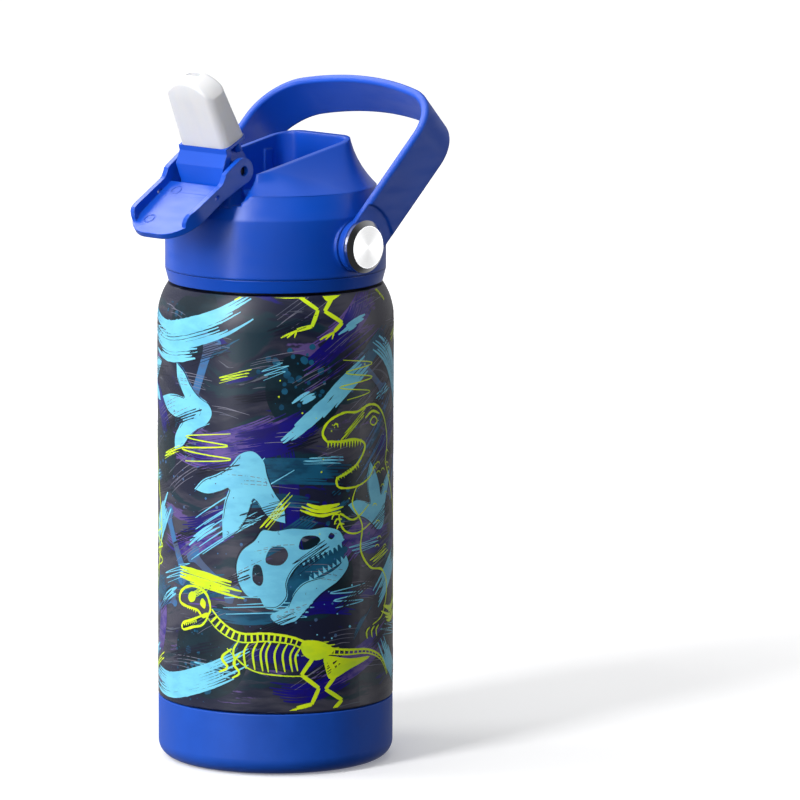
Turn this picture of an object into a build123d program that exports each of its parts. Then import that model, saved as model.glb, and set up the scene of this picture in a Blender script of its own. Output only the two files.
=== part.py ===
from build123d import *
from math import cos, hypot, radians, sin, sqrt
import os

# Vacuum-insulated drinking bottle with a screw lid, a folding spout under a flip cover and a
# carrying handle. Millimetres. +Z is up, the origin is the centre of the base on the table,
# the spout folds out over -Y and the handle swings about an axis along X.

os.makedirs("parts", exist_ok=True)

# ---- driving dimensions: steel body ----
body_radius = 36.5
steel = 0.7
shoulder_start = 137.5
shoulder_arc = 19.4
shoulder_end_radius = 33.3
neck_radius = 29.0
lip_height = 159.5
liner_radius = 32.6
liner_neck_radius = 27.2
liner_floor = 8.7
liner_shoulder_low = 139.0
liner_shoulder_high = 146.5
liner_corner = 9.0
getter_radius = 6.0

# ---- driving dimensions: base boot ----
boot_height = 19.3
boot_edge = 5.0
boot_step = 1.8
boot_floor = 2.35
foot_radius = 2.5

# ---- driving dimensions: thread between the neck and the lid ----
thread_pitch = 4.0
thread_turns = 1.75
thread_start = 149.6
female_depth = 0.8
male_depth = 0.9
plug_radius = 26.0
plug_bottom = 147.5
plug_wall = 2.0
neck_clearance = 0.5

# ---- driving dimensions: lid ----
lid_radius = 34.1
band_bottom = 149.1
band_radius = 33.1
band_top = 153.0
seam = 0.15
taper_start = 171.3
taper_end = 178.5
taper_radius = 31.0
lid_wall = 2.1
web_bottom = 161.8
web_top = 163.8
skirt_radius = 30.6
skirt_gap = 0.25
rim_half_width = 16.0
rim_front = -25.0
rim_back = 21.0
rim_height = 184.3
rim_slope = 10.56
rim_corner = 7.7
pocket_half_width = 14.0
pocket_back = 19.0
pocket_floor = 175.5
pocket_corner = 5.0
rib_y = 10.5
rib_depth = 0.7
rib_width = 3.4
rib_height = 12.0
chimney_radius = 3.8
gasket_radius = 3.3
gasket_length = 9.0
gasket_bottom = 7.0

# ---- driving dimensions: hinge of the cover and the spout ----
hinge_y = -27.0
hinge_z = 186.0
pin_radius = 1.45
pin_clearance = 0.05
pin_inner = 5.0
pin_outer = 12.4
knuckle_radius = 7.2
knuckle_half = 8.0
knuckle_clearance = 0.3
lug_inner = 8.3
lug_outer = 11.3
lug_eye = 2.7
cover_half = 13.5
cover_wall = 1.9
cover_angle = -33.7
cover_length = 32.0
cover_floor = 1.8
cover_ear = 4.0
mark_radius = 1.9
mark_depth = 0.12
cover_wall_end = 27.6
cover_tip_corner = 10.5
spout_angle = 64.3
port_angle = 258.0

# ---- driving dimensions: mouthpiece ----
mouth_base = 8.0
mouth_tip = 32.0
mouth_half = 10.2
mouth_tip_half = 9.4
mouth_front = -1.25
mouth_depth = 9.7
dome_top = 30.1
dome_radius = 10.8
cavity_length = 15.0
drink_length = 5.5
drink_width = 1.8
spigot_length = 7.0
spigot_width = 12.0
spigot_depth = 5.0
collar_height = 1.1
channel_radius = 2.0
post_radius = 1.15
post_start = 4.3
post_back = 4.4

# ---- driving dimensions: straw ----
straw_y = -19.6
straw_radius = 3.1
straw_wall = 0.6
straw_bottom = 12.0
straw_top = 155.7
connector_radius = 4.1
connector_bottom = 148.0
nipple_bottom = 156.5
vent_y = 12.0
vent_radius = 1.3

# ---- driving dimensions: handle ----
pivot_z = 162.7
handle_lean = 47.0
strap_outer = 37.8
strap_inner = 35.0
strap_half = 7.5
pad_radius = 8.1
crown_height = 60.4
crown_radius = 95.0
crown_corner = 18.0
boss_face = 34.3
shoulder_screw_radius = 3.0
screw_thread_radius = 2.0
screw_head_radius = 6.0
washer_radius = 7.0
counterbore_radius = 13.0
counterbore_depth = 0.5
cap_radius = 8.05
cap_face_radius = 6.45
cap_back = 37.6
cap_front = 39.9


def write(builder, name):
    """Label a finished sub-part and write its STEP file."""
    builder.part.label = name
    export_step(builder.part, f"parts/{name}.step")


def hinge_plane(angle, x=0.0):
    """Side-view plane at the hinge: local x points along the angle, local y 90 degrees on.

    The angle is measured from the front (-Y) upwards, and the plane faces -X.
    """
    along = (0, -cos(radians(angle)), sin(radians(angle)))
    return Plane(origin=(x, hinge_y, hinge_z), x_dir=along, z_dir=(-1, 0, 0))


def side_point(angle, radius):
    """(front, height) offsets from the hinge axis, as a side-view point for hinge_plane(0)."""
    return (radius * cos(radians(angle)), radius * sin(radians(angle)))


def spout_frame(distance):
    """Plane across the raised spout: local x is +X, local y points to the spout's back."""
    along = (0, -cos(radians(spout_angle)), sin(radians(spout_angle)))
    origin = (0, hinge_y + distance * along[1], hinge_z + distance * along[2])
    return Plane(origin=origin, x_dir=(1, 0, 0), z_dir=along)


# ======================================================================================
# steel body
# ======================================================================================

shoulder_centre = body_radius - shoulder_arc
shoulder_end_z = shoulder_start + sqrt(shoulder_arc**2 - (shoulder_end_radius - shoulder_centre) ** 2)
base_radius = body_radius - boot_step
base_bottom = boot_floor + 0.05
base_turn = base_radius - foot_radius
step_z = boot_height + 0.2
wall_edge = 0.7

with BuildPart() as outer_shell:
    with BuildSketch(Plane.XZ):
        with BuildLine():
            Line((30.0, base_bottom), (base_turn, base_bottom))
            RadiusArc((base_turn, base_bottom), (base_radius, base_bottom + foot_radius), -foot_radius)
            Line((base_radius, base_bottom + foot_radius), (base_radius, step_z))
            Line((base_radius, step_z), (body_radius - wall_edge, step_z))
            RadiusArc((body_radius - wall_edge, step_z), (body_radius, step_z + wall_edge), -wall_edge)
            Line((body_radius, step_z + wall_edge), (body_radius, shoulder_start))
            RadiusArc((body_radius, shoulder_start), (shoulder_end_radius, shoulder_end_z), -shoulder_arc)
            Line((shoulder_end_radius, shoulder_end_z), (neck_radius, shoulder_end_z))
            Line((neck_radius, shoulder_end_z), (neck_radius, lip_height))
            offset(amount=steel, side=Side.LEFT)
        make_face()
    revolve(axis=Axis.Z)
write(outer_shell, "outer_shell")

# The liner hangs from the lip: neck, inner shoulder, wall and rounded floor.
with BuildPart() as inner_liner:
    with BuildSketch(Plane.XZ):
        with BuildLine():
            FilletPolyline(
                (0, liner_floor),
                (liner_radius, liner_floor),
                (liner_radius, liner_shoulder_low),
                (liner_neck_radius, liner_shoulder_high),
                (liner_neck_radius, lip_height),
                radius=[liner_corner, 6.0, 3.0],
            )
            offset(amount=steel, side=Side.RIGHT)
        make_face()
    revolve(axis=Axis.Z)
    # rolled lip that closes the vacuum gap
    with BuildSketch(Plane.XY.offset(lip_height - steel)):
        Circle(neck_radius - steel - 0.03)
        Circle(liner_neck_radius + steel / 2, mode=Mode.SUBTRACT)
    extrude(amount=steel)
    # female thread
    with BuildLine() as female_path:
        Helix(
            pitch=thread_pitch,
            height=thread_pitch * thread_turns,
            radius=liner_neck_radius,
            center=(0, 0, thread_start),
        )
    with BuildSketch(Plane(origin=female_path.line @ 0, x_dir=(1, 0, 0), z_dir=female_path.line % 0)):
        with BuildLine():
            Polyline(
                (steel / 2, -1.15), (-female_depth, -0.35), (-female_depth, 0.35), (steel / 2, 1.15),
                close=True,
            )
        make_face()
    sweep(path=female_path.line, is_frenet=True)
write(inner_liner, "inner_liner")

with BuildPart() as base_plate:
    with BuildSketch(Plane.XY.offset(base_bottom + steel + 0.02)):
        Circle(base_radius - 3.2)
    extrude(amount=steel)
    with BuildSketch(Plane.XY.offset(base_bottom + steel + 0.02)):
        Circle(18.0)
        Circle(16.0, mode=Mode.SUBTRACT)
    extrude(amount=steel + 0.6)
write(base_plate, "base_plate")

with BuildPart() as vacuum_getter:
    with BuildSketch(Plane.XY.offset(base_bottom + 2 * steel + 0.02)):
        Circle(getter_radius)
    extrude(amount=2.0)
    chamfer(vacuum_getter.edges().group_by(Axis.Z)[-1], 0.4)
write(vacuum_getter, "vacuum_getter")

# Silicone boot pulled over the stepped base of the steel body.
boot_radius = body_radius - 0.05
inner = base_radius + 0.05
boot_lip = 0.4
with BuildPart() as base_boot:
    with BuildSketch(Plane.XZ):
        with BuildLine():
            Line((0, 0), (boot_radius - boot_edge, 0))
            RadiusArc((boot_radius - boot_edge, 0), (boot_radius, boot_edge), -boot_edge)
            Line((boot_radius, boot_edge), (boot_radius, boot_height - boot_lip))
            RadiusArc((boot_radius, boot_height - boot_lip), (boot_radius - boot_lip, boot_height), -boot_lip)
            Line((boot_radius - boot_lip, boot_height), (inner, boot_height))
            Line((inner, boot_height), (inner, boot_floor + foot_radius))
            RadiusArc((inner, boot_floor + foot_radius), (inner - foot_radius, boot_floor), foot_radius)
            Line((inner - foot_radius, boot_floor), (0, boot_floor))
            Line((0, boot_floor), (0, 0))
        make_face()
    revolve(axis=Axis.Z)
write(base_boot, "base_boot")

# ======================================================================================
# lid: inner screw cap
# ======================================================================================

port_top = (
    0,
    hinge_y - knuckle_radius * cos(radians(port_angle)),
    hinge_z + knuckle_radius * sin(radians(port_angle)),
)
port_bottom = (0, straw_y, web_top)
port_length = hypot(port_top[1] - port_bottom[1], port_top[2] - port_bottom[2])
port_direction = tuple((top - bottom) / port_length for top, bottom in zip(port_top, port_bottom))
port_plane = Plane(origin=port_bottom, x_dir=(1, 0, 0), z_dir=port_direction)

with BuildPart() as lid_base:
    with BuildSketch(Plane.XZ):
        with BuildLine():
            Polyline(
                (0, web_top),
                (skirt_radius, web_top),
                (skirt_radius, band_top),
                (lid_radius, band_top),
                (band_radius, band_bottom),
                (neck_radius + neck_clearance, band_bottom),
                (neck_radius + neck_clearance, web_bottom),
                (plug_radius, web_bottom),
                (plug_radius, plug_bottom),
                (plug_radius - plug_wall, plug_bottom),
                (plug_radius - plug_wall, web_bottom),
                (0, web_bottom),
                close=True,
            )
        make_face()
    revolve(axis=Axis.Z)
    # nipple for the straw
    with BuildSketch(Plane.XY.offset(nipple_bottom)):
        with Locations((0, straw_y)):
            Circle(straw_radius)
    extrude(until=Until.NEXT)
    with BuildSketch(Plane.XY.offset(nipple_bottom)):
        with Locations((0, straw_y)):
            Circle(straw_radius - straw_wall)
    extrude(amount=web_top - nipple_bottom, mode=Mode.SUBTRACT)
    # seat of the air vent
    with BuildSketch(Plane.XY.offset(web_bottom)):
        with Locations((0, vent_y)):
            Circle(vent_radius)
    extrude(amount=web_top - web_bottom, mode=Mode.SUBTRACT)
    # male thread
    with BuildLine() as male_path:
        Helix(
            pitch=thread_pitch,
            height=thread_pitch * thread_turns,
            radius=plug_radius,
            center=(0, 0, thread_start - thread_pitch / 2),
        )
    with BuildSketch(Plane(origin=male_path.line @ 0, x_dir=(1, 0, 0), z_dir=male_path.line % 0)):
        with BuildLine():
            Polyline((-0.6, -1.2), (male_depth, -0.35), (male_depth, 0.35), (-0.6, 1.2), close=True)
        make_face()
    sweep(path=male_path.line, is_frenet=True)
write(lid_base, "lid_base")

with BuildPart() as lid_seal:
    with BuildSketch(Plane.XY.offset(lip_height)):
        Circle(neck_radius + 0.4)
        Circle(plug_radius + 0.1, mode=Mode.SUBTRACT)
    extrude(amount=web_bottom - lip_height)
write(lid_seal, "lid_seal")

# Umbrella valve that lets air in while drinking: stem, flap under the web, bead above it.
with BuildPart() as vent_valve:
    with BuildSketch(Plane.XZ.offset(-vent_y)):
        with BuildLine():
            Polyline(
                (0, web_bottom - 1.6),
                (4.0, web_bottom - 0.5),
                (4.0, web_bottom),
                (vent_radius - 0.05, web_bottom),
                (vent_radius - 0.05, web_top),
                (1.9, web_top),
                (1.0, web_top + 2.4),
                (0, web_top + 2.4),
                close=True,
            )
        make_face()
    revolve(axis=Axis((0, vent_y, 0), (0, 0, 1)))
write(vent_valve, "vent_valve")

with BuildPart() as straw_connector:
    with BuildSketch(Plane.XY.offset(connector_bottom)):
        with Locations((0, straw_y)):
            Circle(connector_radius)
            Circle(straw_radius + 0.03, mode=Mode.SUBTRACT)
    extrude(amount=web_bottom - connector_bottom - 0.05)
write(straw_connector, "straw_connector")

with BuildPart() as straw:
    with BuildSketch(Plane.XY.offset(straw_bottom)):
        with Locations((0, straw_y)):
            Circle(straw_radius)
            Circle(straw_radius - straw_wall, mode=Mode.SUBTRACT)
    extrude(amount=straw_top - straw_bottom)
    # slanted foot, so that the straw can't seal itself against the floor
    with BuildSketch(Plane.YZ):
        with BuildLine():
            Polyline(
                (straw_y - straw_radius - 1, straw_bottom - 1),
                (straw_y + straw_radius + 1, straw_bottom - 1),
                (straw_y - straw_radius - 1, straw_bottom + 5),
                close=True,
            )
        make_face()
    extrude(amount=straw_radius + 1, both=True, mode=Mode.SUBTRACT)
write(straw, "straw")

# ======================================================================================
# lid: outer shell with the spout pocket
# ======================================================================================


def rim_plane(fraction):
    """Section plane between the taper's end (0) and the sloping rim (1)."""
    middle_y = (rim_front + rim_back) / 2
    rim_middle = rim_height + (middle_y - rim_front) * sin(radians(rim_slope))
    height = taper_end + fraction * (rim_middle - taper_end)
    slope = radians(rim_slope * fraction)
    return Plane(
        origin=(0, fraction * middle_y, height), x_dir=(1, 0, 0), z_dir=(0, -sin(slope), cos(slope))
    )


def rim_section(fraction, waist):
    """Rounded rectangle between the taper's end and the rim; waist pulls the sides in."""
    width = 2 * (taper_radius + fraction * (rim_half_width - taper_radius) - waist)
    rim_depth = (rim_back - rim_front) / cos(radians(rim_slope))
    depth = 2 * taper_radius + fraction * (rim_depth - 2 * taper_radius) - 2 * waist
    largest = min(width, depth) / 2 - 0.4
    corner = taper_radius + fraction * (rim_corner - taper_radius) - waist / 2
    RectangleRounded(width, depth, min(corner, largest))


saddle_lip = side_point(233.0, knuckle_radius + knuckle_clearance)
saddle_front = side_point(302.0, knuckle_radius + knuckle_clearance)
floor_drop = pocket_floor - hinge_z
with BuildPart() as lid_shell:
    with BuildSketch(Plane.XZ):
        with BuildLine():
            Polyline(
                (0, band_top + seam),
                (lid_radius, band_top + seam),
                (lid_radius, taper_start),
                (taper_radius, taper_end),
                (0, taper_end),
                close=True,
            )
        make_face()
    revolve(axis=Axis.Z)
    # flared collar from the round shoulder to the sloping rounded rim
    for fraction, waist in ((0.0, 0.0), (0.5, 1.1), (1.0, 0.0)):
        with BuildSketch(rim_plane(fraction)):
            rim_section(fraction, waist)
    loft()
    # inside of the skirt
    with BuildSketch(Plane.XZ):
        with BuildLine():
            Polyline(
                (0, band_top),
                (lid_radius - lid_wall, band_top),
                (lid_radius - lid_wall, taper_start - 0.6),
                (taper_radius - lid_wall, pocket_floor - 2),
                (0, pocket_floor - 2),
                close=True,
            )
        make_face()
    revolve(axis=Axis.Z, mode=Mode.SUBTRACT)
    # spout pocket, open to the front
    with BuildSketch(Plane.XY.offset(pocket_floor)):
        with Locations((0, (pocket_back - 50) / 2)):
            RectangleRounded(2 * pocket_half_width, pocket_back + 50, pocket_corner)
    extrude(amount=30, mode=Mode.SUBTRACT)
    # slanted front ends of the collar beside the hinge
    for side in (-1, 1):
        with BuildSketch(Plane.YZ.offset(side * (pocket_half_width - 0.1))):
            with BuildLine():
                Polyline(
                    (rim_front + 1.7, rim_height + 3),
                    (rim_front + 0.5, rim_height - 1.4),
                    (rim_front - 0.9, taper_end + 0.6),
                    (rim_front - 3.2, taper_end - 1.8),
                    (rim_front - 10, taper_end - 1.8),
                    (rim_front - 10, rim_height + 3),
                    close=True,
                )
            make_face()
        extrude(amount=side * 6.0, mode=Mode.SUBTRACT)
    # saddle under the spout's knuckle, with the ramp behind it
    with BuildSketch(hinge_plane(0)):
        with BuildLine():
            Polyline(
                (-7.5, floor_drop - 1),
                (-7.5, floor_drop),
                (-6.6, -9.0),
                saddle_lip,
                (0, -knuckle_radius),
                saddle_front,
                (4.2, -7.6),
                (5.6, floor_drop),
                (5.6, floor_drop - 1),
                close=True,
            )
        make_face()
    extrude(amount=knuckle_half, both=True)
    # hinge lugs beside the knuckle
    for side in (-1, 1):
        with BuildSketch(hinge_plane(0, side * (lug_inner + lug_outer) / 2)):
            Circle(lug_eye)
            with BuildLine():
                Polyline(
                    (-1.9, 1.9), (-1.2, -7.0), (-1.8, floor_drop - 0.5), (4.6, floor_drop - 0.5),
                    (3.4, -7.0), (1.9, -1.9), close=True,
                )
            make_face()
        extrude(amount=(lug_outer - lug_inner) / 2, both=True)
    # port chimney down to the inner cap
    with BuildSketch(port_plane):
        Circle(chimney_radius)
    extrude(amount=port_length - 1.0)
    with BuildSketch(Plane.XY.offset(web_bottom)):
        Circle(skirt_radius)
    extrude(amount=web_top - web_bottom + 0.05, mode=Mode.SUBTRACT)
    # bosses of the handle pivots
    for side in (-1, 1):
        with BuildSketch(Plane.YZ.offset(side * (skirt_radius + skirt_gap))):
            with Locations((0, pivot_z)):
                Circle(pad_radius)
        extrude(amount=side * (boss_face - skirt_radius - skirt_gap))
    # small guide ribs inside the pocket
    for side in (-1, 1):
        with BuildSketch(Plane.XY.offset(pocket_floor)):
            with Locations((side * pocket_half_width, rib_y)):
                Rectangle(2 * rib_depth, rib_width)
        extrude(amount=rib_height)
    # clearance for the knuckle, for the port and for the screws and pins
    with BuildSketch(hinge_plane(0)):
        Circle(knuckle_radius + knuckle_clearance)
    extrude(amount=knuckle_half + 0.1, both=True, mode=Mode.SUBTRACT)
    with BuildSketch(port_plane.offset(-3.0)):
        Circle(straw_radius - straw_wall)
    extrude(amount=port_length + 3.0, mode=Mode.SUBTRACT)
    with BuildSketch(port_plane.offset(port_length - gasket_bottom)):
        Circle(gasket_radius + 0.05)
    extrude(amount=gasket_length, mode=Mode.SUBTRACT)
    with BuildSketch(hinge_plane(0)):
        Circle(pin_radius + 0.02)
    extrude(amount=lug_outer + 1, both=True, mode=Mode.SUBTRACT)
    with BuildSketch(Plane.YZ):
        with Locations((0, pivot_z)):
            Circle(screw_thread_radius + 0.03)
    extrude(amount=boss_face + 1, both=True, mode=Mode.SUBTRACT)
write(lid_shell, "lid_shell")

# Silicone gasket between the port and the knuckle; the knuckle slides over its hollow end.
with BuildPart() as port_seal:
    with BuildSketch(port_plane.offset(port_length - gasket_bottom)):
        Circle(gasket_radius)
        Circle(channel_radius, mode=Mode.SUBTRACT)
    extrude(amount=gasket_length)
    with BuildSketch(hinge_plane(0)):
        Circle(knuckle_radius + 0.08)
    extrude(amount=knuckle_half, both=True, mode=Mode.SUBTRACT)
write(port_seal, "port_seal")

for side, name in ((-1, "left"), (1, "right")):
    with BuildPart() as hinge_pin:
        with BuildSketch(hinge_plane(0, side * pin_inner)):
            Circle(pin_radius)
        extrude(amount=-side * (pin_outer - pin_inner))
        chamfer(hinge_pin.edges().group_by(Axis.X)[0 if side < 0 else -1], 0.25)
    write(hinge_pin, f"hinge_pin_{name}")

# ======================================================================================
# spout
# ======================================================================================


mouth_middle = mouth_front + mouth_depth / 2
channel_top = spout_frame(mouth_base).from_local_coords((0, mouth_middle, 0))
channel_vector = channel_top - Vector(*port_top)
front_plate = [(5.0, -5.2), (5.75, 1.0), (4.2, 5.0), (4.6, 6.6)]
with BuildPart() as spout_block:
    # knuckle
    with BuildSketch(hinge_plane(0)):
        Circle(knuckle_radius)
        with BuildLine():
            Polyline((8, -5.2), *front_plate, (8, 6.6), close=True)
        make_face(mode=Mode.SUBTRACT)
    extrude(amount=knuckle_half, both=True)
    # body between the knuckle and the mouthpiece
    with BuildSketch(hinge_plane(0)):
        with BuildLine():
            Polyline(*front_plate, (-4.14, 10.88), (-4.62, 9.89), (-2.55, 6.73), (0, -3.0), close=True)
        make_face()
    extrude(amount=knuckle_half - 0.3, both=True)
    # wide front plate, narrower at its foot
    with BuildSketch(hinge_plane(0)):
        with BuildLine():
            Polyline(*front_plate, (2.4, 7.7), (2.2, 5.2), (3.2, 1.0), (3.0, -5.6), close=True)
        make_face()
    extrude(amount=mouth_half + 0.1, both=True)
    # collar under the mouthpiece
    with BuildSketch(spout_frame(mouth_base - collar_height)):
        with Locations((0, mouth_middle)):
            RectangleRounded(2 * mouth_half + 0.2, mouth_depth + 0.1, 2.2)
    extrude(amount=collar_height)
    # drive posts that the cover pushes when it closes
    for side in (-1, 1):
        with BuildSketch(spout_frame(post_start)):
            with Locations((side * (knuckle_half + 1.0), post_back)):
                Circle(post_radius)
        extrude(amount=mouth_base - collar_height - post_start + 0.2)
    # taper of the plate's foot
    for side in (-1, 1):
        with BuildSketch(Plane.XZ.offset(-hinge_y)):
            with BuildLine():
                Polyline(
                    (side * (mouth_half + 0.2), hinge_z + 1.0),
                    (side * (mouth_half + 3), hinge_z + 1.0),
                    (side * (mouth_half + 3), hinge_z - 9.0),
                    (side * 7.0, hinge_z - 9.0),
                    close=True,
                )
            make_face()
        extrude(amount=12, mode=Mode.SUBTRACT)
    # spigot that the mouthpiece is pushed over
    with BuildSketch(spout_frame(mouth_base)):
        with Locations((0, mouth_middle)):
            SlotOverall(spigot_width, spigot_depth)
    extrude(amount=spigot_length)
    # drinking channel between the two pins
    with BuildSketch(Plane(origin=port_top, x_dir=(1, 0, 0), z_dir=channel_vector).offset(-2)):
        Circle(channel_radius)
    extrude(amount=channel_vector.length + 2.0, mode=Mode.SUBTRACT)
    with BuildSketch(spout_frame(mouth_base - 0.6)):
        with Locations((0, mouth_middle)):
            Circle(channel_radius)
    extrude(amount=spigot_length + 2.0, mode=Mode.SUBTRACT)
    # bearings for the pins
    for side in (-1, 1):
        with BuildSketch(hinge_plane(0, side * (pin_inner - 0.2))):
            Circle(pin_radius + pin_clearance)
        extrude(amount=-side * 10, mode=Mode.SUBTRACT)
write(spout_block, "spout_block")

# Silicone mouthpiece: a tapered block with an arched top, hollow above its spigot.
mouth_tip_depth = mouth_depth - 2.2
with BuildPart() as mouthpiece:
    with BuildSketch(spout_frame(mouth_base)):
        with Locations((0, mouth_middle)):
            RectangleRounded(2 * mouth_half, mouth_depth, 2.6)
    with BuildSketch(spout_frame(mouth_tip)):
        with Locations((0, mouth_middle)):
            RectangleRounded(2 * mouth_tip_half, mouth_tip_depth, 2.4)
    loft()
    # arched top
    with BuildSketch(Plane(origin=spout_frame(0).origin, x_dir=(-1, 0, 0), z_dir=spout_frame(0).y_dir)):
        with Locations((0, dome_top - dome_radius)):
            Circle(dome_radius)
        with Locations((0, (dome_top - dome_radius) / 2)):
            Rectangle(2 * dome_radius, dome_top - dome_radius)
    extrude(amount=20, both=True, mode=Mode.INTERSECT)
    top_edges = mouthpiece.faces().filter_by(GeomType.CYLINDER).sort_by(Axis.Z)[-1].edges()
    fillet(top_edges, 1.1)
    # cavity that takes the spigot, then the drinking hole towards the back
    with BuildSketch(spout_frame(mouth_base)):
        with Locations((0, mouth_middle)):
            SlotOverall(spigot_width + 0.2, spigot_depth + 0.2)
    extrude(amount=cavity_length, mode=Mode.SUBTRACT)
    with BuildSketch(spout_frame(mouth_base + cavity_length - 1)):
        with Locations((0, mouth_middle + 1.5)):
            SlotOverall(drink_length, drink_width)
    extrude(amount=10, mode=Mode.SUBTRACT)
write(mouthpiece, "mouthpiece")

# ======================================================================================
# flip cover
# ======================================================================================

# The cover's own frame: x across, y from the tip back to the hinge, z from the floor's inner face.
cover_plane = Plane(
    origin=(0, hinge_y, hinge_z), x_dir=(1, 0, 0), z_dir=hinge_plane(cover_angle).y_dir
)
cover_start = knuckle_radius + 0.8
cover_outer_step = 2.1

with BuildPart() as flip_cover:
    # channel: plan outline cut to the side view of floor and walls
    with BuildSketch(hinge_plane(cover_angle)):
        Circle(cover_ear)
        with BuildLine():
            Polyline(
                (0, cover_ear), (5.4, 4.1), (6.7, 3.9), (7.4, 3.3), (9.0, 2.4), (10.0, 2.2), (16.8, 2.5),
                (cover_wall_end - 3.0, 2.9), (cover_wall_end - 1.6, 2.4), (cover_wall_end - 0.5, 1.2),
                (cover_wall_end, 0), (cover_length, 0), (cover_length, -cover_floor),
                (12.0, -cover_outer_step), (0, -cover_ear), close=True,
            )
        make_face()
    extrude(amount=cover_half, both=True)
    with BuildSketch(cover_plane.offset(-6)) as round_tip:
        with Locations((0, -cover_length / 2 + 5)):
            Rectangle(2 * cover_half, cover_length + 10)
        fillet(round_tip.vertices().group_by(Axis.Y)[0], cover_tip_corner)
    extrude(amount=12, mode=Mode.INTERSECT)
    # inside of the channel, following the tip's corners
    with BuildSketch(cover_plane) as channel_inside:
        with Locations((0, -cover_length / 2 + 5)):
            Rectangle(2 * (cover_half - cover_wall), cover_length + 10)
        fillet(channel_inside.vertices().group_by(Axis.Y)[0], cover_tip_corner - 0.5)
    extrude(amount=8, mode=Mode.SUBTRACT)
    # room for the knuckle, the lugs and the lid's front
    with BuildSketch(hinge_plane(cover_angle)):
        Circle(cover_start)
    extrude(amount=cover_half - cover_wall, both=True, mode=Mode.SUBTRACT)
    # pin holes in the ears
    with BuildSketch(hinge_plane(cover_angle)):
        Circle(pin_radius + pin_clearance)
    extrude(amount=cover_half + 1, both=True, mode=Mode.SUBTRACT)
    # snap window in each wall
    with BuildSketch(hinge_plane(cover_angle)):
        with Locations((13.5, 0.4)):
            Rectangle(1.8, 0.9)
    extrude(amount=cover_half + 1, both=True, mode=Mode.SUBTRACT)
    # round ejector marks in the floor
    with BuildSketch(cover_plane):
        with Locations((-5.7, -11.9), (-5.7, -25.7)):
            Circle(mark_radius)
            Circle(mark_radius - 0.35, mode=Mode.SUBTRACT)
    extrude(amount=-mark_depth, mode=Mode.SUBTRACT)
write(flip_cover, "flip_cover")

# ======================================================================================
# handle
# ======================================================================================

lean = radians(handle_lean)
loop_plane = Plane(origin=(0, 0, pivot_z), x_dir=(1, 0, 0), z_dir=(0, -cos(lean), sin(lean)))
strap_thickness = strap_outer - strap_inner


def loop_outline(half_width, top, corner):
    """Closed outline of the loop: straight legs, round corners and a gently arched crown."""
    with BuildSketch(mode=Mode.PRIVATE) as outline:
        with Locations((0, top / 2 - 10)):
            Rectangle(2 * half_width, top + 20)
        with Locations((0, crown_height - crown_radius)):
            Circle(top - crown_height + crown_radius, mode=Mode.INTERSECT)
        fillet(outline.vertices().group_by(Axis.Y)[-1], corner)
    return outline.sketch


with BuildPart() as handle_strap:
    with BuildSketch(loop_plane):
        add(loop_outline(strap_outer, crown_height, crown_corner))
        add(
            loop_outline(strap_inner, crown_height - strap_thickness, crown_corner - strap_thickness),
            mode=Mode.SUBTRACT,
        )
    extrude(amount=strap_half, both=True)
    # legs end below the pivots
    with BuildSketch(Plane(origin=(0, 0, pivot_z), x_dir=loop_plane.z_dir, z_dir=(-1, 0, 0))):
        Rectangle(60, 60, align=(Align.CENTER, Align.MAX))
    extrude(amount=60, both=True, mode=Mode.SUBTRACT)
    fillet(handle_strap.edges().filter_by(GeomType.LINE, reverse=True), 0.9)
    # round pads with their shallow counterbores and pivot holes
    for side in (-1, 1):
        with BuildSketch(Plane.YZ.offset(side * strap_inner)):
            with Locations((0, pivot_z)):
                Circle(pad_radius)
        extrude(amount=side * strap_thickness)
        with BuildSketch(Plane.YZ.offset(side * (strap_outer - counterbore_depth))):
            with Locations((0, pivot_z)):
                Circle(counterbore_radius)
        extrude(amount=side * 2, mode=Mode.SUBTRACT)
        with BuildSketch(Plane.YZ.offset(side * (strap_inner - 1))):
            with Locations((0, pivot_z)):
                Circle(shoulder_screw_radius + 0.06)
        extrude(amount=side * 6, mode=Mode.SUBTRACT)
write(handle_strap, "handle_strap")

for side, name in ((-1, "left"), (1, "right")):
    # washer between the lid's boss and the strap
    with BuildPart() as pivot_washer:
        with BuildSketch(Plane.YZ.offset(side * boss_face)):
            with Locations((0, pivot_z)):
                Circle(washer_radius)
                Circle(shoulder_screw_radius + 0.03, mode=Mode.SUBTRACT)
        extrude(amount=side * (strap_inner - boss_face - 0.1))
    write(pivot_washer, f"pivot_washer_{name}")

    # shoulder screw: thread in the boss, shoulder through the strap, flat head
    with BuildPart() as pivot_screw:
        for radius, start, end in (
            (screw_thread_radius, skirt_radius + 0.35, boss_face + 0.5),
            (shoulder_screw_radius, boss_face, cap_back),
            (screw_head_radius, cap_back, cap_front - 1.2),
        ):
            with BuildSketch(Plane.YZ.offset(side * start)):
                with Locations((0, pivot_z)):
                    Circle(radius)
            extrude(amount=side * (end - start))
    write(pivot_screw, f"pivot_screw_{name}")

    # steel dress cap snapped over the screw's head
    with BuildPart() as rivet_cap:
        with BuildSketch(Plane.YZ.offset(side * cap_back)):
            with Locations((0, pivot_z)):
                Circle(cap_radius)
        extrude(amount=side * (cap_front - cap_back))
        face_edges = rivet_cap.edges().group_by(Axis.X)[-1 if side > 0 else 0]
        chamfer(face_edges, 1.3, cap_radius - cap_face_radius)
        with BuildSketch(Plane.YZ.offset(side * cap_back)):
            with Locations((0, pivot_z)):
                Circle(screw_head_radius + 0.03)
        extrude(amount=side * (cap_front - cap_back - 1.18), mode=Mode.SUBTRACT)
    write(rivet_cap, f"rivet_cap_{name}")
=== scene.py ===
import math
import random

import bmesh
import bpy
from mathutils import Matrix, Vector
from mathutils.geometry import tessellate_polygon


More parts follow.
